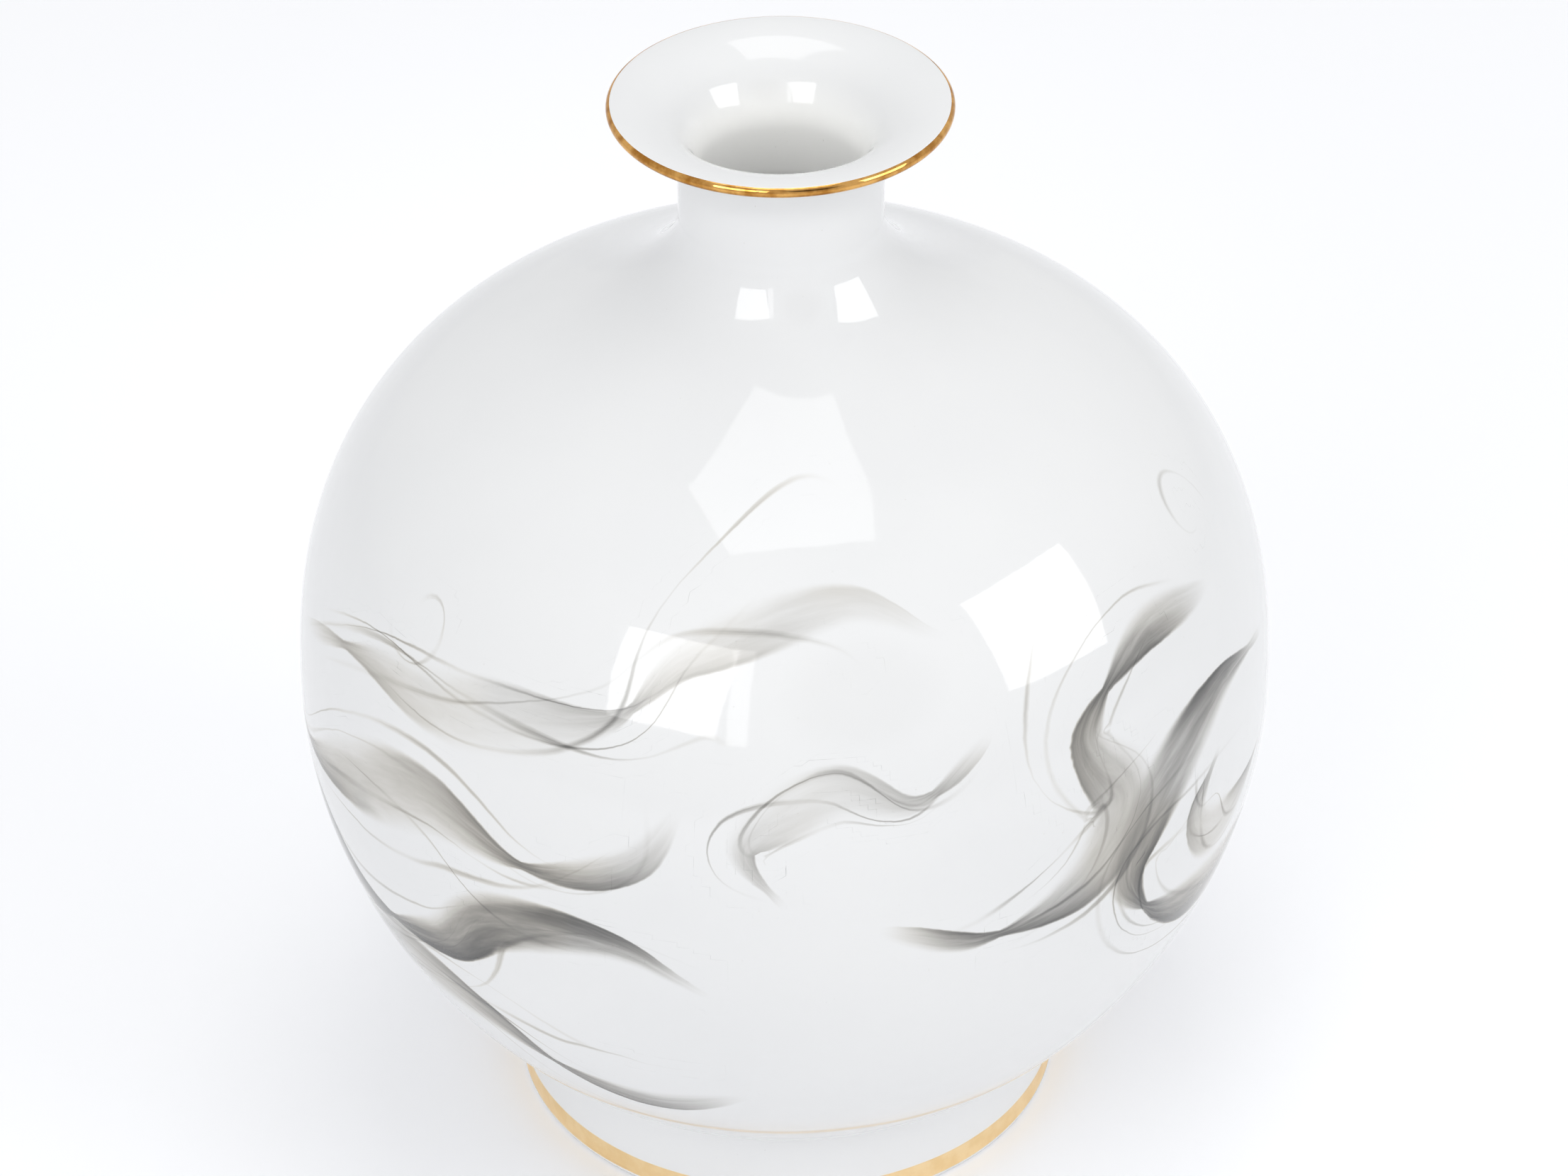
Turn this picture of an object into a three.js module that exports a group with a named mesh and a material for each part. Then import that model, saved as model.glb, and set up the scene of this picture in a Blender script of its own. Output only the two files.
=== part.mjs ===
// A globe-bodied porcelain vase with a short neck, a flared lip and a ring foot, as a standalone three.js model.
// It is made as a potter makes one this size: four porcelain sections, which are luted together with slip before
// firing, and two gilded bands that are fired on last. Millimetres, +Z up, the origin at the middle of the surface
// that the foot stands on. Every piece is turned about the Z axis, so each is one closed lathe profile.
import * as THREE from "three";

// Driving dimensions.
const HEIGHT = 351;
const SEGMENTS = 48; // flats round each turned piece
const LUTE = 0.3; // the slip joint between two sections
const GOLD = 0.4; // thickness of a gilded band
const GOLD_SEAT = 0.1; // space round it

// The globe: a superellipse above the belly line and another below it.
const BELLY_RADIUS = 150;
const BELLY_HEIGHT = 151; // of the belly line, the widest circle
const SHOULDER_RISE = 131;
const SHOULDER_POWER = 2.45; // over 2 is squarer than an ellipse
const BASE_DROP = 155;
const BASE_POWER = 1.88;
const WALL = 5;

// The neck and its collar, a hollow curve that sweeps out onto the shoulder.
const NECK_RADIUS = 30.4;
const NECK_WALL = 6.4;
const NECK_HEIGHT = 313.5; // where the collar's curve ends and the neck runs straight up
const NECK_PULL = 13; // how stiffly the collar leaves the neck
const COLLAR_RADIUS = 83; // where the collar runs out into the shoulder
const COLLAR_PULL = 37; // how stiffly it meets the shoulder
const NECK_JOINT = 0.5; // how far up the collar's curve the neck is joined to the shoulder

// The flared lip, which ends in a half-round bead. Its angles are in degrees from straight down, going outwards.
const FLARE_HEIGHT = 336; // where the neck starts to flare outside
const THROAT_HEIGHT = 327; // where it starts to flare inside
const LIP_RADIUS = 50.8;
const BEAD_RADIUS = 1.65;
const RIM_GOLD_START = 12;
const RIM_GOLD_END = 172;

// The ring foot.
const FOOT_RADIUS = 86.4;
const FOOT_TOP_RADIUS = 85.2;
const FOOT_INNER_RADIUS = 75;
const FOOT_INNER_TOP_RADIUS = 73;
const FOOT_EDGE = 1.6; // radius of its two lower edges
const FOOT_GOLD_HEIGHT = 9;
const BASE_HEIGHT = 14; // of the recessed base's underside
const FLOOR_HEIGHT = 20; // of the vase's floor inside

const point = (radius, height) => new THREE.Vector2(radius, height);
const radians = THREE.MathUtils.degToRad;

// Height of the globe's wall at a radius, inset from the outer surface. A negative rise goes down.
function wallHeight(radius, inset, rise, power) {
  const reach = rise - Math.sign(rise) * inset;
  return BELLY_HEIGHT + reach * (1 - (radius / (BELLY_RADIUS - inset)) ** power) ** (1 / power);
}

// Radius of the bowl's wall at a height, inset from the outer surface.
function bowlRadius(height, inset) {
  const share = (BELLY_HEIGHT - height) / (BASE_DROP - inset);
  return (BELLY_RADIUS - inset) * (1 - share ** BASE_POWER) ** (1 / BASE_POWER);
}

// The globe's wall out of the slip joint at the belly line and on to an end radius, inset from the outer surface.
function wallArc(endRadius, inset, rise, power, steps) {
  const widest = BELLY_RADIUS - inset;
  const reach = rise - Math.sign(rise) * inset;
  const end = Math.acos((endRadius / widest) ** (power / 2));
  const arc = Array.from({ length: steps }, (_, i) => {
    const angle = (end * (i + 1)) / steps;
    return point(widest * Math.cos(angle) ** (2 / power), BELLY_HEIGHT + reach * Math.sin(angle) ** (2 / power));
  });
  return [point(widest, BELLY_HEIGHT + (Math.sign(rise) * LUTE) / 2), ...arc];
}

// The collar's sweep from the shoulder up to the straight part of the neck, inset from the outer surface.
function collarCurve(wallInset, neckInset) {
  const shoulder = (radius) => wallHeight(radius, wallInset, SHOULDER_RISE, SHOULDER_POWER);
  const slope = shoulder(COLLAR_RADIUS + 0.5) - shoulder(COLLAR_RADIUS - 0.5);
  const neck = NECK_RADIUS - neckInset;
  return new THREE.CubicBezierCurve(
    point(COLLAR_RADIUS, shoulder(COLLAR_RADIUS)),
    point(COLLAR_RADIUS - COLLAR_PULL, shoulder(COLLAR_RADIUS) - COLLAR_PULL * slope),
    point(neck, NECK_HEIGHT - NECK_PULL),
    point(neck, NECK_HEIGHT),
  );
}

// Points on a curve between two of its parameters, both ends included.
function stretchOf(curve, from, to, steps) {
  return Array.from({ length: steps + 1 }, (_, i) => curve.getPoint(from + ((to - from) * i) / steps));
}

// The collar below the neck's slip joint, without its first point, which the shoulder's arc already has.
function collarBelowJoint(wallInset, neckInset, steps) {
  const curve = collarCurve(wallInset, neckInset);
  return stretchOf(curve, 0, NECK_JOINT - LUTE / curve.getLength(), steps).slice(1);
}

// The lip's flare from the top of the neck out to the bead: a quarter ellipse that ends level.
function flareCurve(neckInset, bottomHeight, topHeight, steps) {
  const centre = LIP_RADIUS - BEAD_RADIUS;
  const across = centre - NECK_RADIUS + neckInset;
  return new THREE.EllipseCurve(
    centre, bottomHeight, across, topHeight - bottomHeight, Math.PI, Math.PI / 2, true,
  ).getPoints(steps);
}

// An arc about the middle of the lip's bead.
function beadArc(radius, from, to, steps) {
  return new THREE.EllipseCurve(
    LIP_RADIUS - BEAD_RADIUS, HEIGHT - BEAD_RADIUS, radius, radius, radians(from - 90), radians(to - 90),
  ).getPoints(steps);
}

// One rounded lower edge of the foot, from straight down to sideways. side is 1 on the outside and -1 on the inside.
function footEdge(radius, side, steps) {
  const start = -Math.PI / 2;
  return new THREE.EllipseCurve(
    radius - side * FOOT_EDGE, FOOT_EDGE, FOOT_EDGE, FOOT_EDGE, start, start + (side * Math.PI) / 2, side < 0,
  ).getPoints(steps);
}

// Turns a profile, listed anticlockwise and closed here, into a named mesh.
function turned(name, profile, material) {
  const geometry = new THREE.LatheGeometry([...profile, profile[0]], SEGMENTS).rotateX(Math.PI / 2);
  const mesh = new THREE.Mesh(geometry, material);
  mesh.name = name;
  return mesh;
}

const porcelain = () => new THREE.MeshStandardMaterial({ color: 0xeeefee, roughness: 0.08, metalness: 0 });
const polishedGold = () => new THREE.MeshStandardMaterial({ color: 0xd9a441, roughness: 0.12, metalness: 1 });
const satinGold = () => new THREE.MeshStandardMaterial({ color: 0xe0bb76, roughness: 0.35, metalness: 1 });

// Lip, neck and the top of the collar, thrown as one section. The bead is turned down where the gold goes round it.
function neckAndLip() {
  const seatAngle = THREE.MathUtils.radToDeg(GOLD_SEAT / BEAD_RADIUS);
  const goldFrom = RIM_GOLD_START - seatAngle;
  const goldTo = RIM_GOLD_END + seatAngle;
  return turned("neck_and_lip", [
    ...stretchOf(collarCurve(0, 0), NECK_JOINT, 1, 5),
    ...flareCurve(0, FLARE_HEIGHT, HEIGHT - 2 * BEAD_RADIUS, 6).slice(0, -1),
    ...beadArc(BEAD_RADIUS, 0, goldFrom, 1),
    ...beadArc(BEAD_RADIUS - GOLD - GOLD_SEAT, goldFrom, goldTo, 6),
    ...beadArc(BEAD_RADIUS, goldTo, 180, 1),
    ...flareCurve(NECK_WALL, THROAT_HEIGHT, HEIGHT, 7).slice(0, -1).reverse(),
    ...stretchOf(collarCurve(WALL, NECK_WALL), NECK_JOINT, 1, 4).reverse(),
  ], porcelain());
}

// The shoulder, from the belly line up to the neck's slip joint.
function upperBody() {
  const arc = (inset, steps) => wallArc(COLLAR_RADIUS, inset, SHOULDER_RISE, SHOULDER_POWER, steps);
  return turned("upper_body", [
    ...arc(0, 8),
    ...collarBelowJoint(0, 0, 4),
    ...collarBelowJoint(WALL, NECK_WALL, 3).reverse(),
    ...arc(WALL, 7).reverse(),
  ], porcelain());
}

// The bowl, from the recessed base to the belly line.
function lowerBody() {
  return turned("lower_body", [
    point(0, BASE_HEIGHT),
    ...wallArc(bowlRadius(BASE_HEIGHT, 0), 0, -BASE_DROP, BASE_POWER, 9).reverse(),
    ...wallArc(bowlRadius(FLOOR_HEIGHT, WALL), WALL, -BASE_DROP, BASE_POWER, 8),
    point(0, FLOOR_HEIGHT),
  ], porcelain());
}

// The ring foot, whose top follows the bowl. Its outside is turned down where the gold band goes round it.
function footRing() {
  const underGold = FOOT_RADIUS - GOLD - GOLD_SEAT;
  const goldTop = FOOT_GOLD_HEIGHT + GOLD_SEAT;
  const underBowl = (radius) => point(radius, wallHeight(radius, 0, -BASE_DROP, BASE_POWER) - LUTE);
  return turned("foot_ring", [
    ...footEdge(underGold, 1, 2),
    point(underGold, goldTop),
    point(FOOT_RADIUS, goldTop),
    underBowl(FOOT_TOP_RADIUS),
    underBowl((FOOT_TOP_RADIUS + FOOT_INNER_TOP_RADIUS) / 2),
    underBowl(FOOT_INNER_TOP_RADIUS),
    ...footEdge(FOOT_INNER_RADIUS, -1, 2).reverse(),
  ], porcelain());
}

// The polished gold round the lip's bead.
function rimGilding() {
  const outer = beadArc(BEAD_RADIUS, RIM_GOLD_START, RIM_GOLD_END, 6);
  const inner = beadArc(BEAD_RADIUS - GOLD, RIM_GOLD_START, RIM_GOLD_END, 6);
  return turned("rim_gilding", [...outer, ...inner.reverse()], polishedGold());
}

// The satin gold band round the foot. It stops above the rounded edge that the vase stands on.
function footGilding() {
  const inner = FOOT_RADIUS - GOLD;
  return turned("foot_gilding", [
    point(inner, FOOT_EDGE),
    point(FOOT_RADIUS, FOOT_EDGE),
    point(FOOT_RADIUS, FOOT_GOLD_HEIGHT),
    point(inner, FOOT_GOLD_HEIGHT),
  ], satinGold());
}

const vase = new THREE.Group();
vase.add(neckAndLip(), upperBody(), lowerBody(), footRing(), rimGilding(), footGilding());

export default vase;
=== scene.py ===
"""Looks for the globe-bodied vase: fine turned porcelain, smoke under its glaze and fired gold bands."""

import math

import bpy
import numpy as np
from mathutils import Matrix, Vector


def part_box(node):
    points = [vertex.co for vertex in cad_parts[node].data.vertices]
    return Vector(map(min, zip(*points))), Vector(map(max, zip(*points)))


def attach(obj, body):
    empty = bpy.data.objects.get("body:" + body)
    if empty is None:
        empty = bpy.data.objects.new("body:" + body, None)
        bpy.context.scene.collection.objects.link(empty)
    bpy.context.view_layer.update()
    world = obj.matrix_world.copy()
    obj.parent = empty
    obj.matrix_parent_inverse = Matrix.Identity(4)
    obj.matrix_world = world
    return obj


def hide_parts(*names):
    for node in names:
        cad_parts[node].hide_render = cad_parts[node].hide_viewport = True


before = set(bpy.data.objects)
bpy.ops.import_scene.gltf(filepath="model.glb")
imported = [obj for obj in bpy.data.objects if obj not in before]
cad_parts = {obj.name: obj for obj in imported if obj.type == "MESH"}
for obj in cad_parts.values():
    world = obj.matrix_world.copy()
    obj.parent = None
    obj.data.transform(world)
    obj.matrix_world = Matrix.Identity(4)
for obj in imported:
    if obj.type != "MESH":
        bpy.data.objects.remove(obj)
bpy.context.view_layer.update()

MM = 0.001
SEGMENTS = 384  # round each turned piece
CURVE_SAMPLES = 3001  # points that a profile curve is measured with
ON_AXIS = 1e-7  # m, nearer the axis than this counts as on it

# Sizes that come from the CAD pieces' boxes, in metres.
BELLY_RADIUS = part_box("upper_body")[1].x
BELLY_HEIGHT = (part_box("upper_body")[0].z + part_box("lower_body")[1].z) / 2
BASE_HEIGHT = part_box("lower_body")[0].z
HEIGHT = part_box("neck_and_lip")[1].z
LIP_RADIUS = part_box("rim_gilding")[1].x
FOOT_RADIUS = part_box("foot_gilding")[1].x
FOOT_GOLD_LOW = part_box("foot_gilding")[0].z
FOOT_GOLD_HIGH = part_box("foot_gilding")[1].z

# The smooth curves behind the CAD's facets.
SHOULDER_RISE = 131 * MM
SHOULDER_POWER = 2.45
BASE_DROP = 155 * MM
BASE_POWER = 1.88
WALL = 5 * MM
NECK_RADIUS = 30.4 * MM
NECK_WALL = 6.4 * MM
NECK_HEIGHT = 313.5 * MM  # where the collar ends and the neck runs straight up
NECK_PULL = 13 * MM  # how stiffly the collar leaves the neck
COLLAR_RADIUS = 83 * MM  # where the collar runs out into the shoulder
COLLAR_PULL = 37 * MM  # how stiffly it meets the shoulder
NECK_JOINT = 0.5  # how far up the collar's curve the neck is joined to the shoulder
FLARE_HEIGHT = 336 * MM  # where the lip starts to flare outside
THROAT_HEIGHT = 327 * MM  # where it starts to flare inside
BEAD_RADIUS = 1.65 * MM
FOOT_TOP_RADIUS = 85.2 * MM
FOOT_INNER_RADIUS = 75 * MM
FOOT_INNER_TOP_RADIUS = 73 * MM
FOOT_EDGE = 1.6 * MM
FLOOR_HEIGHT = 20 * MM
FOOT_FILLET = 1.6 * MM  # how far the corner under the bowl is rounded
GOLD_PROUD = 0.04 * MM  # the gold's film over the porcelain
GOLD_BURIED = 0.2 * MM  # and under its surface
GOLD_FEATHER = 12  # it comes to its full height over a twelfth of its width, from each edge
LIP_GOLD_ARC = (12, 160)  # degrees round the lip's bead from straight down, going outwards


# ---------------------------------------------------------------- profiles

def sampled(curve, rows):
    """Evenly spaced (radius, height) points on curve(t), t from 0 to 1, and the normals on its right."""
    t = np.linspace(0, 1, CURVE_SAMPLES)
    dense = np.stack([np.broadcast_to(c, t.shape) for c in curve(t)], 1)
    tangent = np.gradient(dense, axis=0, edge_order=2)
    step = np.hypot(*np.diff(dense, axis=0).T)
    length = np.concatenate([[0], np.cumsum(step)])
    at = np.linspace(0, length[-1], rows + 1)
    points = np.stack([np.interp(at, length, dense[:, k]) for k in (0, 1)], 1)
    points[0], points[-1] = dense[0], dense[-1]
    normal = np.stack([tangent[:, 1], -tangent[:, 0]], 1)
    normal /= np.maximum(np.hypot(*normal.T), 1e-15)[:, None]
    normals = np.stack([np.interp(at, length, normal[:, k]) for k in (0, 1)], 1)
    return points, normals / np.hypot(*normals.T)[:, None]


def globe(inset, rise, power, end_radius, rows):
    """The globe's wall from the belly line to an end radius."""
    widest = BELLY_RADIUS - inset
    reach = rise - math.copysign(inset, rise)
    end = math.acos((end_radius / widest) ** (power / 2))

    def curve(t):
        angle = end * t
        return widest * np.cos(angle) ** (2 / power), BELLY_HEIGHT + reach * np.sin(angle) ** (2 / power)
    return sampled(curve, rows)


def shoulder_height(radius, inset):
    """Height of the shoulder's wall at a radius, inset from the outer surface."""
    reach = SHOULDER_RISE - inset
    share = 1 - (radius / (BELLY_RADIUS - inset)) ** SHOULDER_POWER
    return BELLY_HEIGHT + reach * share ** (1 / SHOULDER_POWER)


def bowl_height(radius):
    """Height of the bowl's outer surface at a radius."""
    return BELLY_HEIGHT - BASE_DROP * (1 - (radius / BELLY_RADIUS) ** BASE_POWER) ** (1 / BASE_POWER)


def bowl_radius(height, inset):
    """Radius of the bowl's wall at a height, inset from the outer surface."""
    share = (BELLY_HEIGHT - height) / (BASE_DROP - inset)
    return (BELLY_RADIUS - inset) * (1 - share ** BASE_POWER) ** (1 / BASE_POWER)


def collar(wall_inset, neck_inset, start, end, rows):
    """The collar's sweep from the shoulder to the neck, between two of its parameters."""
    at_shoulder = shoulder_height(COLLAR_RADIUS, wall_inset)
    slope = (shoulder_height(COLLAR_RADIUS + 0.5 * MM, wall_inset)
             - shoulder_height(COLLAR_RADIUS - 0.5 * MM, wall_inset)) / MM
    neck = NECK_RADIUS - neck_inset
    corners = [
        (COLLAR_RADIUS, at_shoulder),
        (COLLAR_RADIUS - COLLAR_PULL, at_shoulder - COLLAR_PULL * slope),
        (neck, NECK_HEIGHT - NECK_PULL),
        (neck, NECK_HEIGHT),
    ]

    def curve(t):
        s = start + (end - start) * t
        weights = [(1 - s) ** 3, 3 * (1 - s) ** 2 * s, 3 * (1 - s) * s ** 2, s ** 3]
        return [sum(w * c[k] for w, c in zip(weights, corners)) for k in (0, 1)]
    return sampled(curve, rows)


def flare(neck_inset, bottom, top, rows):
    """The lip's flare, a quarter ellipse that ends level."""
    centre = LIP_RADIUS - BEAD_RADIUS
    across = centre - NECK_RADIUS + neck_inset

    def curve(t):
        angle = t * math.pi / 2
        return centre - across * np.cos(angle), bottom + (top - bottom) * np.sin(angle)
    return sampled(curve, rows)


def arc(centre, radius, start, end, rows):
    """An arc in the (radius, height) plane, its angles in degrees from the +radius direction."""
    def curve(t):
        angle = np.radians(start + (end - start) * t)
        return centre[0] + radius * np.cos(angle), centre[1] + radius * np.sin(angle)
    return sampled(curve, rows)


def line(start, end, rows=1):
    """A straight run between two (radius, height) points."""
    def curve(t):
        return start[0] + (end[0] - start[0]) * t, start[1] + (end[1] - start[1]) * t
    return sampled(curve, rows)


def reverse(path):
    """A path run the other way, its normals turned with it."""
    return path[0][::-1], -path[1][::-1]


# ---------------------------------------------------------------- meshes

def turned(name, node, paths, materials):
    """A closed solid turned from paths that join up: (points, normals, material index), anticlockwise. Its
    shading normals are the curves' own, so the joints between sections don't show on the surface."""
    angles = np.arange(SEGMENTS) * 2 * math.pi / SEGMENTS
    sine, cosine = np.sin(angles), -np.cos(angles)
    vertices, faces, corners, indices = [], [], [], []

    def ring(point):
        radius, height = point
        first = len(vertices)
        if radius < ON_AXIS:
            vertices.append((0.0, 0.0, height))
            return [first] * SEGMENTS
        vertices.extend(zip(radius * sine, radius * cosine, [height] * SEGMENTS))
        return list(range(first, first + SEGMENTS))

    def direction(normal, j):
        return (normal[0] * sine[j], normal[0] * cosine[j], normal[1])

    first_ring = last_ring = None
    for k, (points, normals, material) in enumerate(paths):
        for i in range(len(points)):
            if i == 0:
                here = ring(points[0]) if last_ring is None else last_ring
                first_ring = first_ring or here
            elif k == len(paths) - 1 and i == len(points) - 1 and points[i][0] > ON_AXIS:
                here = first_ring
            else:
                here = ring(points[i])
            if i > 0:
                for j in range(SEGMENTS):
                    n = (j + 1) % SEGMENTS
                    quad = [(last_ring[j], i - 1, j), (last_ring[n], i - 1, n),
                            (here[n], i, n), (here[j], i, j)]
                    kept = [c for m, c in enumerate(quad) if c[0] != quad[m - 1][0]]
                    faces.append([c[0] for c in kept])
                    corners.extend(direction(normals[c[1]], c[2]) for c in kept)
                    indices.append(material)
            last_ring = here
    mesh = bpy.data.meshes.new(name)
    mesh.from_pydata(vertices, [], faces)
    mesh.update()
    mesh.polygons.foreach_set("use_smooth", [True] * len(faces))
    for material in materials:
        mesh.materials.append(material)
    mesh.polygons.foreach_set("material_index", indices)
    mesh.normals_split_custom_set(corners)
    return placed(name, mesh, node)


def placed(name, mesh, node):
    """The mesh as a piece in the scene, in place of a CAD node."""
    piece = bpy.data.objects.new(name, mesh)
    bpy.context.scene.collection.objects.link(piece)
    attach(piece, "root")
    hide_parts(node)
    return piece


def build_neck(materials):
    bead_middle = (LIP_RADIUS - BEAD_RADIUS, HEIGHT - BEAD_RADIUS)
    outer = [
        collar(0, 0, NECK_JOINT, 1, 20),
        line((NECK_RADIUS, NECK_HEIGHT), (NECK_RADIUS, FLARE_HEIGHT), 10),
        flare(0, FLARE_HEIGHT, HEIGHT - 2 * BEAD_RADIUS, 20),
        arc(bead_middle, BEAD_RADIUS, -90, 90, 24),
    ]
    bore = NECK_RADIUS - NECK_WALL
    inner = [
        reverse(flare(NECK_WALL, THROAT_HEIGHT, HEIGHT, 32)),
        line((bore, THROAT_HEIGHT), (bore, NECK_HEIGHT), 5),
        reverse(collar(WALL, NECK_WALL, NECK_JOINT, 1, 12)),
    ]
    inner.append(line(inner[-1][0][-1], outer[0][0][0]))
    paths = [(*p, 0) for p in outer] + [(*p, 1) for p in inner]
    return turned("porcelain_neck_and_lip", "neck_and_lip", paths, materials)


def build_shoulder(materials):
    outer = [globe(0, SHOULDER_RISE, SHOULDER_POWER, COLLAR_RADIUS, 90), collar(0, 0, 0, NECK_JOINT, 18)]
    inner = [reverse(collar(WALL, NECK_WALL, 0, NECK_JOINT, 8)),
             reverse(globe(WALL, SHOULDER_RISE, SHOULDER_POWER, COLLAR_RADIUS, 28))]
    paths = [*outer, line(outer[-1][0][-1], inner[0][0][0]), *inner, line(inner[-1][0][-1], outer[0][0][0])]
    return turned("porcelain_shoulder", "upper_body", [(*p, 0) for p in paths], materials)


def build_bowl(materials):
    outer = reverse(globe(0, -BASE_DROP, BASE_POWER, bowl_radius(BASE_HEIGHT, 0), 105))
    inner = globe(WALL, -BASE_DROP, BASE_POWER, bowl_radius(FLOOR_HEIGHT, WALL), 34)
    paths = [
        line((0, BASE_HEIGHT), outer[0][0], 6),
        outer,
        line(outer[0][-1], inner[0][0]),
        inner,
        line(inner[0][-1], (0, FLOOR_HEIGHT), 6),
    ]
    return turned("porcelain_bowl", "lower_body", [(*p, 0) for p in paths], materials)


def build_foot(materials):
    side_low = (FOOT_RADIUS, FOOT_GOLD_HIGH)
    corner = (FOOT_TOP_RADIUS, bowl_height(FOOT_TOP_RADIUS))
    side = np.subtract(corner, side_low) / np.hypot(*np.subtract(corner, side_low))
    lean = (bowl_height(FOOT_TOP_RADIUS + MM) - bowl_height(FOOT_TOP_RADIUS)) / MM
    outward = np.array([1, lean]) / math.hypot(1, lean)
    half = math.acos(-np.dot(side, outward)) / 2
    run = FOOT_FILLET / math.tan(half)
    start = np.array(corner) - side * run
    end_radius = corner[0] + outward[0] * run
    end = np.array([end_radius, bowl_height(end_radius)])

    def fillet(t):
        weights = [(1 - t) ** 2, 2 * (1 - t) * t, t ** 2]
        return [sum(w * c[k] for w, c in zip(weights, (start, corner, end))) for k in (0, 1)]

    def under_bowl(t):
        radius = end_radius + (FOOT_INNER_TOP_RADIUS - end_radius) * t
        return radius, bowl_height(radius)
    inner_top = (FOOT_INNER_TOP_RADIUS, bowl_height(FOOT_INNER_TOP_RADIUS))
    edge = FOOT_EDGE
    paths = [
        (*line((FOOT_INNER_RADIUS + edge, 0), (FOOT_RADIUS - edge, 0), 4), 1),
        (*arc((FOOT_RADIUS - edge, edge), edge, -90, 0, 8), 0),
        (*line((FOOT_RADIUS, edge), side_low, 3), 0),
        (*line(side_low, start, 6), 0),
        (*sampled(fillet, 10), 0),
        (*sampled(under_bowl, 6), 0),
        (*line(inner_top, (FOOT_INNER_RADIUS, edge), 4), 0),
        (*arc((FOOT_INNER_RADIUS + edge, edge), edge, 180, 270, 6), 0),
    ]
    return turned("porcelain_foot", "foot_ring", paths, materials)


def film(name, node, section, low, high, waver, seed, rows, material):
    """A gilded band. section(s, depth) is a point at distance s along the porcelain and depth above it. The
    band runs from low to high along the porcelain, and both edges waver as brushed gold does."""
    rng = np.random.default_rng(seed)
    angles = np.arange(SEGMENTS) * 2 * math.pi / SEGMENTS

    def wander():
        waves = sum(rng.normal() / n ** 0.7 * np.cos(n * angles + rng.uniform(0, 2 * math.pi))
                    for n in (2, 3, 5, 8, 13, 21, 34, 55))
        return waver * waves / np.abs(waves).max()
    bottom, top = low + wander(), high + wander()
    shares = np.linspace(0, 1, rows + 1)
    skin = [(s, GOLD_PROUD * min(1, GOLD_FEATHER * s, GOLD_FEATHER * (1 - s))) for s in shares]
    skin += [(s, -GOLD_BURIED) for s in shares[::-1]]
    vertices = []
    for share, depth in skin:
        reach = bottom + (top - bottom) * share
        radius, height = section(reach, depth)
        vertices.append(np.stack([radius * np.sin(angles), -radius * np.cos(angles),
                                  np.broadcast_to(height, angles.shape)], 1))
    count = len(skin)
    faces = [
        (i * SEGMENTS + j, i * SEGMENTS + (j + 1) % SEGMENTS,
         (i + 1) % count * SEGMENTS + (j + 1) % SEGMENTS, (i + 1) % count * SEGMENTS + j)
        for i in range(count) for j in range(SEGMENTS)
    ]
    mesh = bpy.data.meshes.new(name)
    mesh.from_pydata(np.concatenate(vertices).tolist(), [], faces)
    mesh.update()
    mesh.polygons.foreach_set("use_smooth", [True] * len(faces))
    mesh.set_sharp_from_angle(angle=math.radians(40))
    mesh.materials.append(material)
    return placed(name, mesh, node)


def bead_section(s, depth):
    """A point round the lip's bead, s metres from straight down going outwards."""
    angle = s / BEAD_RADIUS - math.pi / 2
    centre = LIP_RADIUS - BEAD_RADIUS
    reach = BEAD_RADIUS + depth
    return centre + reach * np.cos(angle), HEIGHT - BEAD_RADIUS + reach * np.sin(angle)


def foot_section(s, depth):
    """A point s metres up the foot's straight side."""
    return FOOT_RADIUS + depth, s


# ---------------------------------------------------------------- smoke

INK_LIMIT = 2.3  # the densest the smoke gets, as an absorbance
EDGE_ON = 1.4  # mm, half the width of a sheet that is seen edge on
SMOKE_MARGIN = 3.6  # mm beyond a wisp's edge where its place is still written
END_FADE = 0.2  # share of a wisp's length over which each end of it fades


def outline():
    """The globe's outer (height, radius) in mm, from the foot to the neck."""
    bowl = globe(0, -BASE_DROP, BASE_POWER, bowl_radius(BASE_HEIGHT, 0), 400)[0][::-1]
    dome = globe(0, SHOULDER_RISE, SHOULDER_POWER, COLLAR_RADIUS, 400)[0]
    sweep = collar(0, 0, 0, 1, 100)[0]
    both = np.concatenate([bowl, dome[1:], sweep[1:]]) / MM
    return both[:, 1], both[:, 0]


HEIGHTS, RADII = outline()


def through(points, steps):
    """A smooth line through points, with steps samples for each stretch (Catmull-Rom)."""
    p = np.array(points, float)
    p = np.vstack([2 * p[0] - p[1], p, 2 * p[-1] - p[-2]])
    t = np.linspace(0, 1, steps, endpoint=False)[:, None]
    runs = [
        0.5 * (2 * b + (c - a) * t + (2 * a - 5 * b + 4 * c - d) * t ** 2
               + (3 * b - a - 3 * c + d) * t ** 3)
        for a, b, c, d in zip(p[:-3], p[1:-2], p[2:-1], p[3:])
    ]
    return np.vstack([*runs, p[-2:-1]])


def beside(route, offset):
    """A route moved sideways over the globe by an offset in mm, one for each of its samples."""
    radius = np.interp(route[:, 1], HEIGHTS, RADII)
    across = np.radians(np.gradient(route[:, 0])) * radius
    up = np.gradient(route[:, 1])
    size = np.hypot(across, up)
    moved = route.copy()
    moved[:, 0] += np.degrees(-up / size * offset / radius)
    moved[:, 1] += across / size * offset
    return moved


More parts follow.
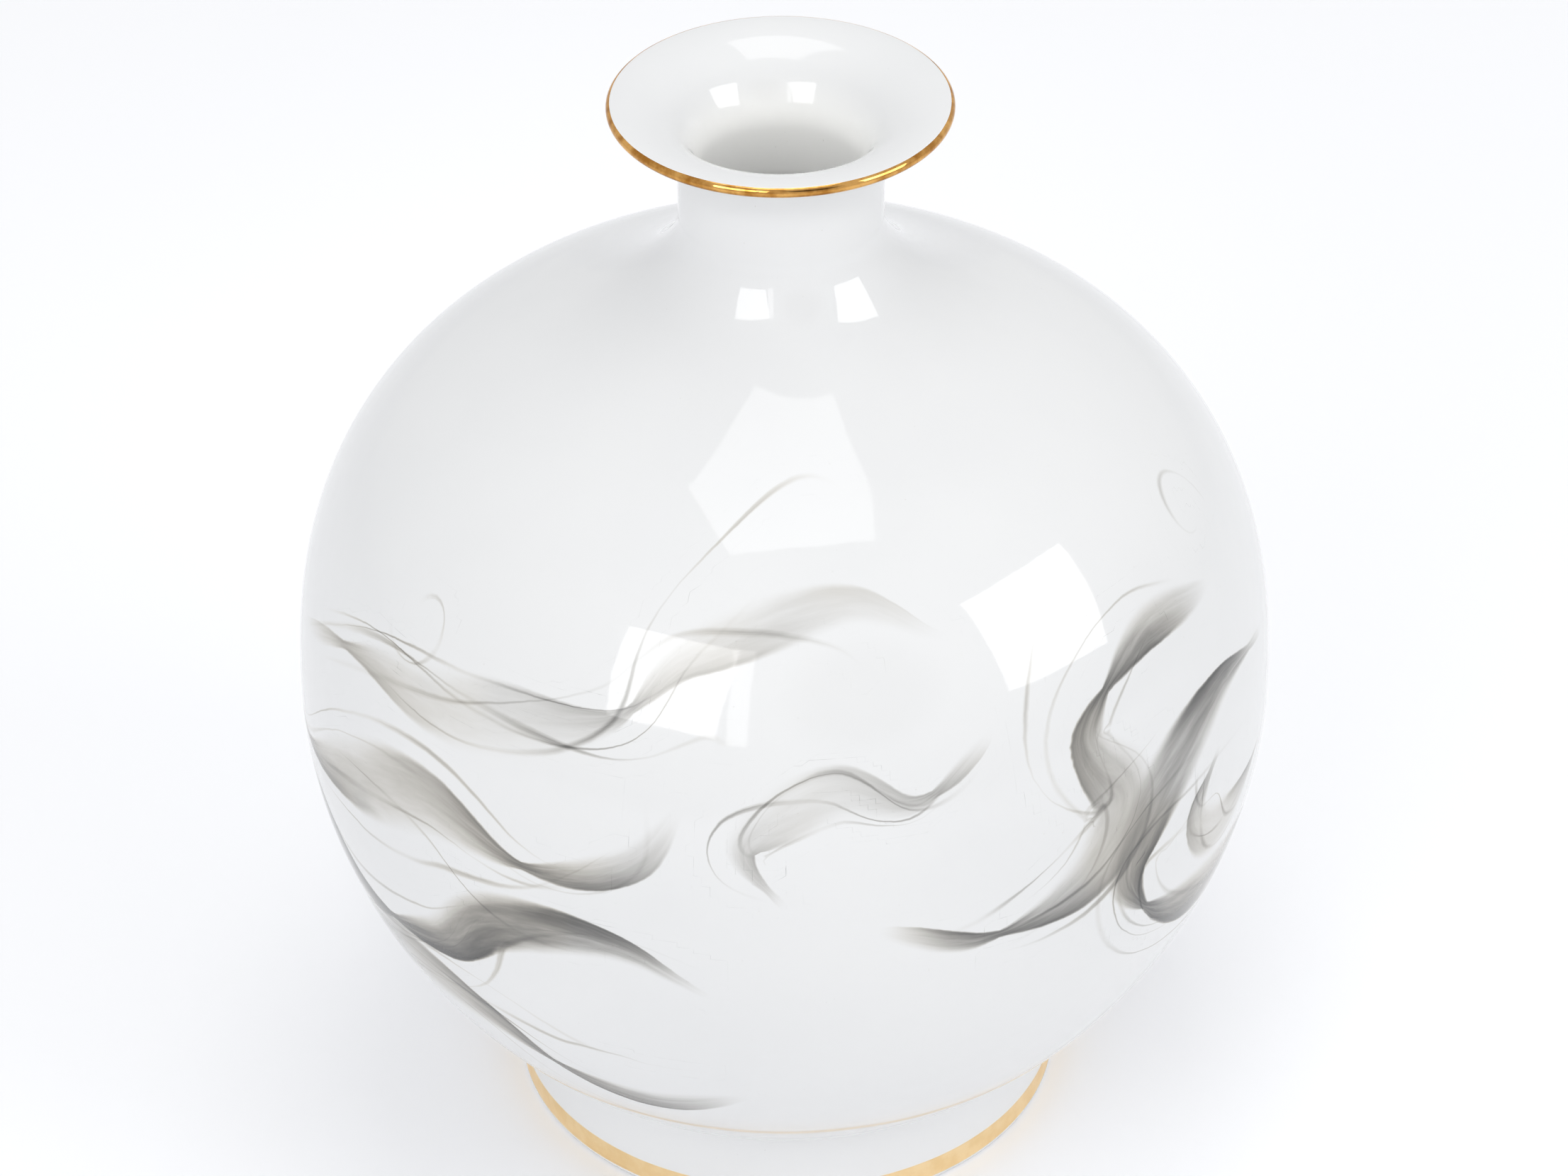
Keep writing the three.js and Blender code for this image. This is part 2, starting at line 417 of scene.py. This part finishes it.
def sheet_of_smoke(points, swell, load, twists, lead):
    """A sheet that twists as it drifts along points, each (azimuth in degrees, height in mm). It is pale
    where it faces out and swells to its widest, and dark where it is edge on, because its load of smoke stays
    the same. swell is half its greatest width in mm, load is absorbance times mm, twists counts its half
    turns and lead is the part of one that it starts with."""
    route = through(points, 16)
    share = np.linspace(0, 1, len(route))
    turn = math.pi * (twists * share + lead)
    half = EDGE_ON + swell * np.abs(np.cos(turn)) * np.sin(math.pi * share) ** 0.75
    ink = INK_LIMIT * (1 - np.exp(-load / half / INK_LIMIT))
    fold = np.sin(2 * turn)
    return dict(
        route=route,
        half=half,
        ink=np.stack([ink * (0.75 + 0.45 * fold), ink * (0.75 - 0.45 * fold),
                      ink * np.clip(fold, 0, 1), ink * np.clip(-fold, 0, 1)], 1),
        soft=np.stack([half * (0.5 - 0.38 * fold), half * (0.5 + 0.38 * fold)], 1),
    )


def thread_of_smoke(route, half, ink, rng):
    """A thin line of smoke whose width and density come and go."""
    share = np.linspace(0, 1, len(route))
    swell = 1 + 0.6 * np.sin(2 * math.pi * (rng.uniform(1, 2.5) * share + rng.uniform()))
    wax = 1 + 0.7 * np.sin(2 * math.pi * (rng.uniform(1, 3) * share + rng.uniform()))
    width = half * swell
    level = ink * wax
    return dict(route=route, half=width, ink=np.stack([level, level, 0 * level, 0 * level], 1),
                soft=np.stack([width, width], 1))


def plume(points, swell, load, twists, lead, threads, seed):
    """A sheet of smoke and the threads that it sheds, which weave across it, wider and wider as they go."""
    rng = np.random.default_rng(seed)
    sheet = sheet_of_smoke(points, swell, load, twists, lead)
    wisps = [sheet]
    share = np.linspace(0, 1, len(sheet["route"]))
    for _ in range(threads):
        weave = np.sin(2 * math.pi * (rng.uniform(0.5, 1.3) * share + rng.uniform()))
        spread = rng.uniform(-0.9, 0.9) * share
        reach = swell * rng.uniform(0.9, 1.7)
        route = beside(sheet["route"], reach * (weave * (0.35 + 0.65 * share) + spread))
        first = int(rng.uniform(0, 0.3) * len(route))
        last = int(rng.uniform(0.7, 1) * len(route))
        wisps.append(thread_of_smoke(route[first:last], rng.uniform(0.6, 1.1), rng.uniform(0.14, 0.48), rng))
    return wisps


def curl(azimuth, height, start, turns, size, ink, seed):
    """A thread that winds in on itself, from size mm across its middle down to a third of that."""
    rng = np.random.default_rng(seed)
    share = np.linspace(0, 1, 60)
    angle = math.radians(start) + 2 * math.pi * turns * share
    reach = size * (1 - 0.67 * share)
    radius = np.interp(height, HEIGHTS, RADII)
    across = np.degrees(reach * np.cos(angle) / radius)
    route = np.stack([azimuth + across, height + reach * np.sin(angle)], 1)
    return [thread_of_smoke(route, 0.9, ink, rng)]


# The decoration: thick smoke low on the left and up the right, thin smoke over the middle, and more round the
# back. Azimuth 0 is the front, 90 the right and -90 the left.
SMOKE = [
    *plume([(-125, 120), (-100, 140), (-80, 130), (-62, 115), (-45, 125), (-35, 145), (-20, 150), (-8, 135)],
           swell=14, load=26, twists=2.4, lead=0.1, threads=5, seed=11),
    *plume([(-95, 95), (-75, 90), (-58, 100), (-42, 95), (-30, 80), (-18, 75), (-5, 85)],
           swell=16, load=13, twists=1.7, lead=0.3, threads=5, seed=12),
    *plume([(-90, 150), (-75, 150), (-60, 165), (-45, 175), (-30, 170), (-18, 180), (-12, 200)],
           swell=14, load=7, twists=1.8, lead=0.2, threads=5, seed=13),
    *plume([(-80, 185), (-60, 205), (-40, 210), (-22, 220), (-12, 240), (8, 250), (22, 240)],
           swell=12, load=2.4, twists=2.2, lead=0.15, threads=5, seed=14),
    *plume([(95, 100), (78, 115), (62, 118), (48, 130), (42, 152), (48, 175), (62, 190), (78, 185)],
           swell=14, load=18, twists=2.3, lead=0.35, threads=5, seed=15),
    *plume([(10, 160), (22, 150), (35, 158), (42, 180), (38, 205), (50, 222), (66, 218)],
           swell=13, load=9, twists=2.0, lead=0.1, threads=5, seed=16),
    *plume([(25, 215), (15, 200), (5, 205), (-5, 190), (0, 170)],
           swell=9, load=2, twists=1.4, lead=0.2, threads=4, seed=17),
    *plume([(75, 150), (62, 140), (55, 155), (60, 172)],
           swell=10, load=4, twists=1.2, lead=0.4, threads=3, seed=18),
    *plume([(100, 150), (118, 165), (135, 155), (150, 130), (168, 125), (182, 140)],
           swell=14, load=17, twists=2.1, lead=0.2, threads=5, seed=21),
    *plume([(120, 205), (140, 215), (160, 200), (178, 205), (195, 225)],
           swell=12, load=4, twists=1.6, lead=0.1, threads=4, seed=22),
    *plume([(170, 90), (190, 100), (205, 120), (200, 150), (212, 175), (230, 180)],
           swell=14, load=13, twists=2.0, lead=0.3, threads=5, seed=23),
    *curl(azimuth=-52, height=225, start=200, turns=0.9, size=14, ink=0.2, seed=31),
    *curl(azimuth=70, height=235, start=-20, turns=0.85, size=13, ink=0.2, seed=32),
    *curl(azimuth=145, height=175, start=30, turns=0.9, size=14, ink=0.26, seed=34),
]


def along(values, share):
    """Values that are evenly spaced along a wisp, read at shares of its length."""
    at = np.linspace(0, 1, len(values))
    if values.ndim == 1:
        return np.interp(share, at, values)
    return np.stack([np.interp(share, at, column) for column in values.T], 1)


def smoothed(x):
    """x held between 0 and 1, with its ends eased."""
    x = np.clip(x, 0, 1)
    return x * x * (3 - 2 * x)


def place_wisp(wisp, positions):
    """Which vertices a wisp reaches, and nine numbers for each: distance along the wisp, distance to the
    right of its middle and half width; ink at its left, at its right and in its left rim; ink in its right
    rim, and how softly its left and right edges fade. Positions are in mm."""
    azimuth, height = np.radians(wisp["route"][:, 0]), wisp["route"][:, 1]
    radius = np.interp(height, HEIGHTS, RADII)
    path = np.stack([radius * np.sin(azimuth), -radius * np.cos(azimuth), height], 1)
    tangent = np.gradient(path, axis=0)
    tangent /= np.linalg.norm(tangent, axis=1)[:, None]
    slope = np.interp(height + 0.5, HEIGHTS, RADII) - np.interp(height - 0.5, HEIGHTS, RADII)
    right = np.cross(tangent, np.stack([np.sin(azimuth), -np.cos(azimuth), -slope], 1))
    right /= np.linalg.norm(right, axis=1)[:, None]
    run = np.concatenate([[0], np.cumsum(np.linalg.norm(np.diff(path, axis=0), axis=1))])
    reach = wisp["half"].max() + SMOKE_MARGIN
    in_box = (positions > path.min(0) - reach) & (positions < path.max(0) + reach)
    near = np.flatnonzero(np.all(in_box, axis=1))
    closest = np.array([np.square(path - spot).sum(1).argmin() for spot in positions[near]], int)
    away = positions[near] - path[closest]
    place = run[closest] + np.einsum("ij,ij->i", away, tangent[closest])
    offset = np.einsum("ij,ij->i", away, right[closest])
    share = place / run[-1]
    half = along(wisp["half"], share)
    fade = smoothed(share / END_FADE) * smoothed((1 - share) / END_FADE)
    ink = along(wisp["ink"], share) * fade[:, None]
    data = np.column_stack([place, offset, half, ink, along(wisp["soft"], share)])
    middle = run[-1] / 2
    kept = (np.abs(offset) < half + SMOKE_MARGIN) & (np.abs(place - middle) < middle + SMOKE_MARGIN)
    return near[kept], data[kept]


def write_smoke(pieces):
    """Writes the smoke on the pieces' vertices, in layers, and returns how many. Wisps that touch go in
    different layers, so that each layer says at most one wisp at a vertex."""
    counts = [len(piece.data.vertices) for piece in pieces]
    spots = np.zeros((sum(counts), 3), np.float32)
    starts = np.cumsum([0, *counts])
    for piece, start, count in zip(pieces, starts, counts):
        flat = np.zeros(count * 3, np.float32)
        piece.data.vertices.foreach_get("co", flat)
        spots[start:start + count] = flat.reshape(-1, 3) / MM
    surface = np.interp(spots[:, 2], HEIGHTS, RADII)
    outside = np.flatnonzero(np.hypot(spots[:, 0], spots[:, 1]) > surface - 0.5)
    layers = []
    for wisp in SMOKE:
        near, data = place_wisp(wisp, spots[outside])
        near = outside[near]
        layer = next((layer for layer in layers if not layer[near].any()), None)
        if layer is None:
            layer = np.zeros((len(spots), 9), np.float32)
            layers.append(layer)
        layer[near] = data
    for piece, start, count in zip(pieces, starts, counts):
        for k, layer in enumerate(layers):
            for column, name in enumerate(("place", "ink", "edge")):
                stored = piece.data.attributes.new(f"smoke{k}_{name}", "FLOAT_VECTOR", "POINT")
                block = layer[start:start + count, 3 * column:3 * column + 3]
                stored.data.foreach_set("vector", np.ascontiguousarray(block).ravel())
    return len(layers)


# ---------------------------------------------------------------- materials

WHITE = (0.705, 0.709, 0.71)
WHITE_SHADE = (0.685, 0.69, 0.693)
# Painted light: inside the neck the glaze colour turns lighter going down, in place of light that comes
# through the thin wall.
THROAT_PAINTED_LIGHT = (0.95, 0.95, 0.93)
PAINTED_LIGHT_FROM = 7 * MM  # below the lip, where the painted light in the throat starts
PAINTED_LIGHT_TO = 21 * MM  # and where the throat's painted light reaches its full colour
# Painted light: the foot's porcelain is lighter than the body's, to make up for the shade that the bowl casts
# on it.
FOOT_WHITE_PAINTED_LIGHT = (0.78, 0.785, 0.79)
FOOT_SHADE_PAINTED_LIGHT = (0.76, 0.765, 0.77)
SPECK = (0.42, 0.39, 0.35)
GLAZE_IOR = 1.52
SMOKE_TINTS = (-0.16, -0.02, 0.26)  # the share by which thin smoke takes more red, green and blue than thick


class Nodes:
    """A material's node tree, with short calls for the nodes this scene uses."""

    def __init__(self, name):
        self.material = bpy.data.materials.new(name)
        self.material.use_nodes = True
        self.tree = self.material.node_tree
        self.shader = self.tree.nodes["Principled BSDF"]

    def new(self, kind, **settings):
        node = self.tree.nodes.new(kind)
        for key, value in settings.items():
            setattr(node, key, value)
        return node

    def link(self, a, b):
        self.tree.links.new(a, b)

    def put(self, socket, value):
        if isinstance(value, bpy.types.NodeSocket):
            self.link(value, socket)
        else:
            socket.default_value = value

    def math(self, operation, a, b=0.0, c=0.0):
        node = self.new("ShaderNodeMath", operation=operation)
        for socket, value in zip(node.inputs, (a, b, c)):
            self.put(socket, value)
        return node.outputs[0]

    def place(self):
        return self.new("ShaderNodeTexCoord").outputs["Object"]

    def noise(self, vector, scale, detail=3.0, roughness=0.55, distortion=0.0, stretch=None):
        if stretch:
            mapping = self.new("ShaderNodeMapping")
            mapping.inputs["Scale"].default_value = stretch
            self.link(vector, mapping.inputs["Vector"])
            vector = mapping.outputs[0]
        node = self.new("ShaderNodeTexNoise")
        self.link(vector, node.inputs["Vector"])
        for key, value in (("Scale", scale), ("Detail", detail), ("Roughness", roughness),
                           ("Distortion", distortion)):
            node.inputs[key].default_value = value
        return node.outputs["Fac"]

    def remap(self, value, low, high, to_low, to_high, smooth=False):
        node = self.new("ShaderNodeMapRange")
        node.interpolation_type = "SMOOTHSTEP" if smooth else "LINEAR"
        for socket, v in zip(node.inputs, (value, low, high, to_low, to_high)):
            self.put(socket, v)
        return node.outputs[0]

    def mix(self, factor, a, b, blend="MIX"):
        node = self.new("ShaderNodeMix", data_type="RGBA", blend_type=blend)
        self.put(node.inputs["Factor"], factor)
        self.put(node.inputs[6], a if isinstance(a, bpy.types.NodeSocket) else (*a, 1))
        self.put(node.inputs[7], b if isinstance(b, bpy.types.NodeSocket) else (*b, 1))
        return node.outputs[2]

    def bump(self, height, distance, normal=None):
        node = self.new("ShaderNodeBump")
        node.inputs["Strength"].default_value = 1.0
        node.inputs["Distance"].default_value = distance
        self.link(height, node.inputs["Height"])
        if normal is not None:
            self.link(normal, node.inputs["Normal"])
        return node.outputs[0]

    def set(self, **values):
        for key, value in values.items():
            self.put(self.shader.inputs[key.replace("_", " ")], value)

    def split(self, vector):
        node = self.new("ShaderNodeSeparateXYZ")
        self.link(vector, node.inputs[0])
        return node.outputs

    def join(self, x, y, z):
        node = self.new("ShaderNodeCombineXYZ")
        for socket, value in zip(node.inputs, (x, y, z)):
            self.put(socket, value)
        return node.outputs[0]

    def attribute(self, name):
        return self.new("ShaderNodeAttribute", attribute_name=name).outputs["Vector"]

    def smoke_layer(self, k, drift):
        """The ink of one layer: a sheet that fills between its edges, with a darker rim along each."""
        place, offset, half = self.split(self.attribute(f"smoke{k}_place"))
        left, right, left_rim = self.split(self.attribute(f"smoke{k}_ink"))
        right_rim, left_soft, right_soft = self.split(self.attribute(f"smoke{k}_edge"))
        offset = self.math("ADD", offset, drift)
        from_left = self.math("ADD", half, offset)
        from_right = self.math("SUBTRACT", half, offset)
        share = self.math("DIVIDE", from_left, self.math("MULTIPLY", half, 2.0))
        along_it = self.math("MULTIPLY", place, 0.035)
        across_it = self.math("MULTIPLY", share, 5.0)
        streak = self.noise(self.join(along_it, across_it, k * 7.3), 1.0, 3, 0.6, 0.3)
        ink = self.remap(share, 0.0, 1.0, left, right)
        fill = self.math("MULTIPLY", ink, self.remap(streak, 0.25, 0.75, 0.6, 1.4))
        reach = self.math("MULTIPLY", half, -0.35)
        for rim, gap in ((left_rim, from_left), (right_rim, from_right)):
            fall = self.math("EXPONENT", self.math("DIVIDE", gap, reach))
            fill = self.math("MULTIPLY_ADD", rim, fall, fill)
        for gap, soft in ((from_left, left_soft), (from_right, right_soft)):
            fill = self.math("MULTIPLY", fill, self.remap(gap, 0.0, soft, 0.0, 1.0, True))
        return fill

    def smoke(self, layers, place):
        """How much of each colour the smoke lets through, all its layers together."""
        drift = self.math("MULTIPLY", self.math("SUBTRACT", self.noise(place, 110, 3, 0.6), 0.5), 0.9)
        total = 0.0
        for k in range(layers):
            total = self.math("ADD", self.smoke_layer(k, drift), total)
        warm = self.remap(self.noise(place, 14, 2), 0.4, 0.62, 0.4, 1.0, True)
        thin = self.math("MULTIPLY", warm, self.math("EXPONENT", self.math("MULTIPLY", total, -1.0)))
        parts = []
        for tint in SMOKE_TINTS:
            share = self.math("MULTIPLY_ADD", thin, -tint, -1.0)
            parts.append(self.math("EXPONENT", self.math("MULTIPLY", total, share)))
        return self.join(*parts)


def porcelain(name, light, shade, smoke_layers=0, deep=None):
    """White porcelain under a clear gloss glaze, with a faint unevenness of tone and surface. Inside the neck
    its colour is painted lighter going down, to the colour deep: painted light, for light through a thin
    wall."""
    n = Nodes(name)
    place = n.place()
    cloud = n.remap(n.noise(place, 9, 3, 0.5), 0.35, 0.65, 0, 1, True)
    colour = n.mix(cloud, shade, light)
    # painted light: the colour lightens going down inside the neck
    if deep:
        height = n.split(place)[2]
        down = n.remap(height, HEIGHT - PAINTED_LIGHT_FROM, HEIGHT - PAINTED_LIGHT_TO, 0.0, 1.0, True)
        colour = n.mix(down, colour, deep)
    specks = n.remap(n.noise(place, 900, 1, 0.5), 0.2, 0.16, 0, 0.3)
    colour = n.mix(specks, colour, SPECK)
    if smoke_layers:
        colour = n.mix(1.0, colour, n.smoke(smoke_layers, place), "MULTIPLY")
    n.set(Base_Color=colour, Roughness=n.remap(n.noise(place, 45, 4, 0.6), 0.3, 0.7, 0.03, 0.06))
    wave = n.bump(n.noise(place, 22, 2, 0.4), 0.35 * MM)
    n.set(Normal=n.bump(n.noise(place, 420, 2, 0.5), 0.006 * MM, normal=wave))
    n.shader.inputs["IOR"].default_value = GLAZE_IOR
    return n.material


def bisque():
    """The unglazed ring that the vase stands on."""
    n = Nodes("bisque")
    place = n.place()
    grain = n.noise(place, 1400, 5, 0.7)
    stain = n.remap(n.noise(place, 60, 4, 0.6), 0.35, 0.7, 0, 1, True)
    n.set(Base_Color=n.mix(stain, (0.66, 0.62, 0.56), (0.74, 0.72, 0.68)))
    n.set(Roughness=n.remap(grain, 0.3, 0.7, 0.7, 0.9))
    n.set(Normal=n.bump(grain, 0.08 * MM))
    return n.material


def gold(name, deep, pale, rough_low, rough_high, streaks, dents):
    """Fired gold, brushed on round the vase, so that its streaks run round it. streaks is how fine they are,
    and dents how deep the metal's waves are, in metres."""
    n = Nodes(name)
    place = n.place()
    blotch = n.remap(n.noise(place, 140, 4, 0.6), 0.35, 0.65, 0, 1, True)
    brushed = n.noise(place, streaks, 4, 0.6, stretch=(0.12, 0.12, 1.0))
    mottle = n.math("ADD", n.math("MULTIPLY", blotch, 0.6), n.math("MULTIPLY", brushed, 0.4))
    tone = n.remap(mottle, 0.2, 0.8, 0, 1)
    n.set(Base_Color=n.mix(tone, deep, pale), Roughness=n.remap(brushed, 0.3, 0.7, rough_low, rough_high))
    n.set(Normal=n.bump(brushed, dents / 10, normal=n.bump(n.noise(place, 60, 2, 0.4), dents)))
    n.shader.inputs["Metallic"].default_value = 1.0
    return n.material


# ---------------------------------------------------------------- the vase

neck_glaze = porcelain("neck_porcelain", WHITE, WHITE_SHADE)
# The throat's porcelain carries painted light: it is painted lighter going down inside the neck.
throat_glaze_painted_light = porcelain("throat_porcelain_painted_light", WHITE, WHITE_SHADE, deep=THROAT_PAINTED_LIGHT)
# The foot's porcelain is painted lighter than the body's: painted light against the bowl's shade.
foot_glaze_painted_light = porcelain("foot_porcelain", FOOT_WHITE_PAINTED_LIGHT, FOOT_SHADE_PAINTED_LIGHT)
lip_gold = gold("polished_gold", deep=(0.4, 0.17, 0.03), pale=(0.72, 0.4, 0.12),
                rough_low=0.03, rough_high=0.07, streaks=60, dents=0.03 * MM)
foot_gold = gold("satin_gold", deep=(0.9, 0.67, 0.36), pale=(0.95, 0.74, 0.44),
                 rough_low=0.3, rough_high=0.4, streaks=160, dents=0.05 * MM)

build_neck([neck_glaze, throat_glaze_painted_light])
body = [build_shoulder([]), build_bowl([])]
body_glaze = porcelain("body_porcelain", WHITE, WHITE_SHADE, write_smoke(body))
for piece in body:
    piece.data.materials.append(body_glaze)
build_foot([foot_glaze_painted_light, bisque()])
film("gilded_lip", "rim_gilding", bead_section,
     low=math.radians(LIP_GOLD_ARC[0]) * BEAD_RADIUS, high=math.radians(LIP_GOLD_ARC[1]) * BEAD_RADIUS,
     waver=0.06 * MM, seed=3, rows=22, material=lip_gold)
film("gilded_foot", "foot_gilding", foot_section,
     low=FOOT_GOLD_LOW + 0.15 * MM, high=FOOT_GOLD_HIGH - 0.15 * MM,
     waver=0.12 * MM, seed=5, rows=12, material=foot_gold)


# ---------------------------------------------------------------- stage, light and camera

LIGHT_DISTANCE = 1.5
AIM_HEIGHT = 0.2  # of the point that the softboxes face, on the vase's axis
CAMERA_PLACE = (0, -1.3729, 1.1438)
CAMERA_DOWN = 0.6132  # radians
CAMERA_ROLL = -0.0074  # radians
SENSOR_MM = 36
LENS_MM = 124.9
FLOOR_REACH = 8
ROOM_STRENGTH = 0.85
ROOM_COLOUR = (0.985, 0.99, 1.0, 1)
DIM_COLOUR = (0.24, 0.22, 0.2, 1)
DIM_DIRECTION = (0.3, -0.8, 0.52)
DIM_OUTER, DIM_INNER = 21, 9  # degrees from that direction, where the dimming starts and is full


def softbox(name, azimuth, elevation, width, height, radiance, seen=True, cast=True, roll=0.0):
    """A rectangular softbox aimed at the middle of the vase. Azimuth 0 is in front of it and 90 to its right.
    seen is whether it shows in the glaze, cast whether it lights what isn't glossy, and roll in radians."""
    a, e = math.radians(azimuth), math.radians(elevation)
    aim = Vector((math.sin(a) * math.cos(e), -math.cos(a) * math.cos(e), math.sin(e)))
    light = bpy.data.lights.new(name, "AREA")
    light.shape = "RECTANGLE"
    light.size, light.size_y = width, height
    light.energy = radiance * width * height * math.pi
    panel = bpy.data.objects.new(name, light)
    panel.location = Vector((0, 0, AIM_HEIGHT)) + aim * LIGHT_DISTANCE
    panel.rotation_mode = "QUATERNION"
    panel.rotation_quaternion = aim.to_track_quat("Z", "Y") @ Matrix.Rotation(roll, 3, "Z").to_quaternion()
    panel.visible_camera = False
    panel.visible_glossy = seen
    panel.visible_diffuse = cast
    bpy.context.scene.collection.objects.link(panel)


def beam(name, elevation, target, angle, softness, power):
    """A soft-edged beam from the front onto a target. It doesn't show in the glaze."""
    e = math.radians(elevation)
    aim = Vector((0, -math.cos(e), math.sin(e)))
    light = bpy.data.lights.new(name, "SPOT")
    light.energy = power
    light.spot_size = math.radians(angle)
    light.spot_blend = 1.0
    light.shadow_soft_size = softness
    lamp = bpy.data.objects.new(name, light)
    lamp.location = Vector(target) + aim * LIGHT_DISTANCE
    lamp.rotation_mode = "QUATERNION"
    lamp.rotation_quaternion = aim.to_track_quat("Z", "Y")
    lamp.visible_camera = False
    lamp.visible_glossy = False
    bpy.context.scene.collection.objects.link(lamp)


def build_stage():
    """A pale floor and the room round it."""
    mesh = bpy.data.meshes.new("floor")
    corners = [(x * FLOOR_REACH, y * FLOOR_REACH, 0) for x, y in ((-1, -1), (1, -1), (1, 1), (-1, 1))]
    mesh.from_pydata(corners, [], [(0, 1, 2, 3)])
    n = Nodes("floor_paper")
    n.set(Base_Color=n.mix(n.noise(n.place(), 3, 2), (0.955, 0.96, 0.98), (0.965, 0.97, 0.985)))
    n.set(Roughness=0.9)
    mesh.materials.append(n.material)
    floor = bpy.data.objects.new("floor", mesh)
    bpy.context.scene.collection.objects.link(floor)
    world = bpy.data.worlds.new("studio")
    bpy.context.scene.world = world
    world.use_nodes = True
    paint_world(world.node_tree)


def paint_world(tree):
    """An even white room with one dim patch, behind the camera and to its right, for the gold to mirror."""
    background = tree.nodes["Background"]
    background.inputs["Strength"].default_value = ROOM_STRENGTH
    direction = tree.nodes.new("ShaderNodeTexCoord")
    facing = tree.nodes.new("ShaderNodeVectorMath")
    facing.operation = "DOT_PRODUCT"
    facing.inputs[1].default_value = Vector(DIM_DIRECTION).normalized()
    shade = tree.nodes.new("ShaderNodeMapRange")
    shade.interpolation_type = "SMOOTHSTEP"
    shade.inputs["From Min"].default_value = math.cos(math.radians(DIM_OUTER))
    shade.inputs["From Max"].default_value = math.cos(math.radians(DIM_INNER))
    colour = tree.nodes.new("ShaderNodeMix")
    colour.data_type = "RGBA"
    colour.inputs[6].default_value = ROOM_COLOUR
    colour.inputs[7].default_value = DIM_COLOUR
    tree.links.new(direction.outputs["Generated"], facing.inputs[0])
    tree.links.new(facing.outputs["Value"], shade.inputs["Value"])
    tree.links.new(shade.outputs[0], colour.inputs[0])
    tree.links.new(colour.outputs[2], background.inputs["Color"])


def build_camera():
    """The camera that was fitted to the photograph's outlines."""
    data = bpy.data.cameras.new("camera")
    data.sensor_width = SENSOR_MM
    data.lens = LENS_MM
    camera = bpy.data.objects.new("camera", data)
    tilt = Matrix.Rotation(math.pi / 2 - CAMERA_DOWN, 4, "X") @ Matrix.Rotation(CAMERA_ROLL, 4, "Z")
    camera.matrix_world = Matrix.Translation(CAMERA_PLACE) @ tilt
    bpy.context.scene.collection.objects.link(camera)
    bpy.context.scene.camera = camera


build_stage()
# The front softboxes only show in the glaze, the glows and the beam only light it, and the overhead panel
# does both.
softbox("left_softbox", -29, 32, width=0.66, height=0.76, radiance=3.6, cast=False, roll=0.04)
softbox("left_strip", -11, 31, width=0.12, height=0.8, radiance=2.0, cast=False)
softbox("right_softbox", 70, 29, width=0.76, height=0.8, radiance=3.6, cast=False, roll=-0.25)
softbox("overhead_panel", 180, 85, width=0.7, height=0.86, radiance=1.6, roll=0.2)
softbox("left_glow", -28, 32, width=0.9, height=1.0, radiance=1.85, seen=False)
softbox("right_glow", 68, 31, width=0.9, height=1.0, radiance=1.7, seen=False)
softbox("low_glow", 5, 5, width=1.3, height=0.4, radiance=0.55, seen=False)
beam("mouth_beam", 43, target=(0, -0.015, 0.32), angle=11, softness=0.15, power=20)
build_camera()
bpy.context.scene.view_settings.view_transform = "Standard"
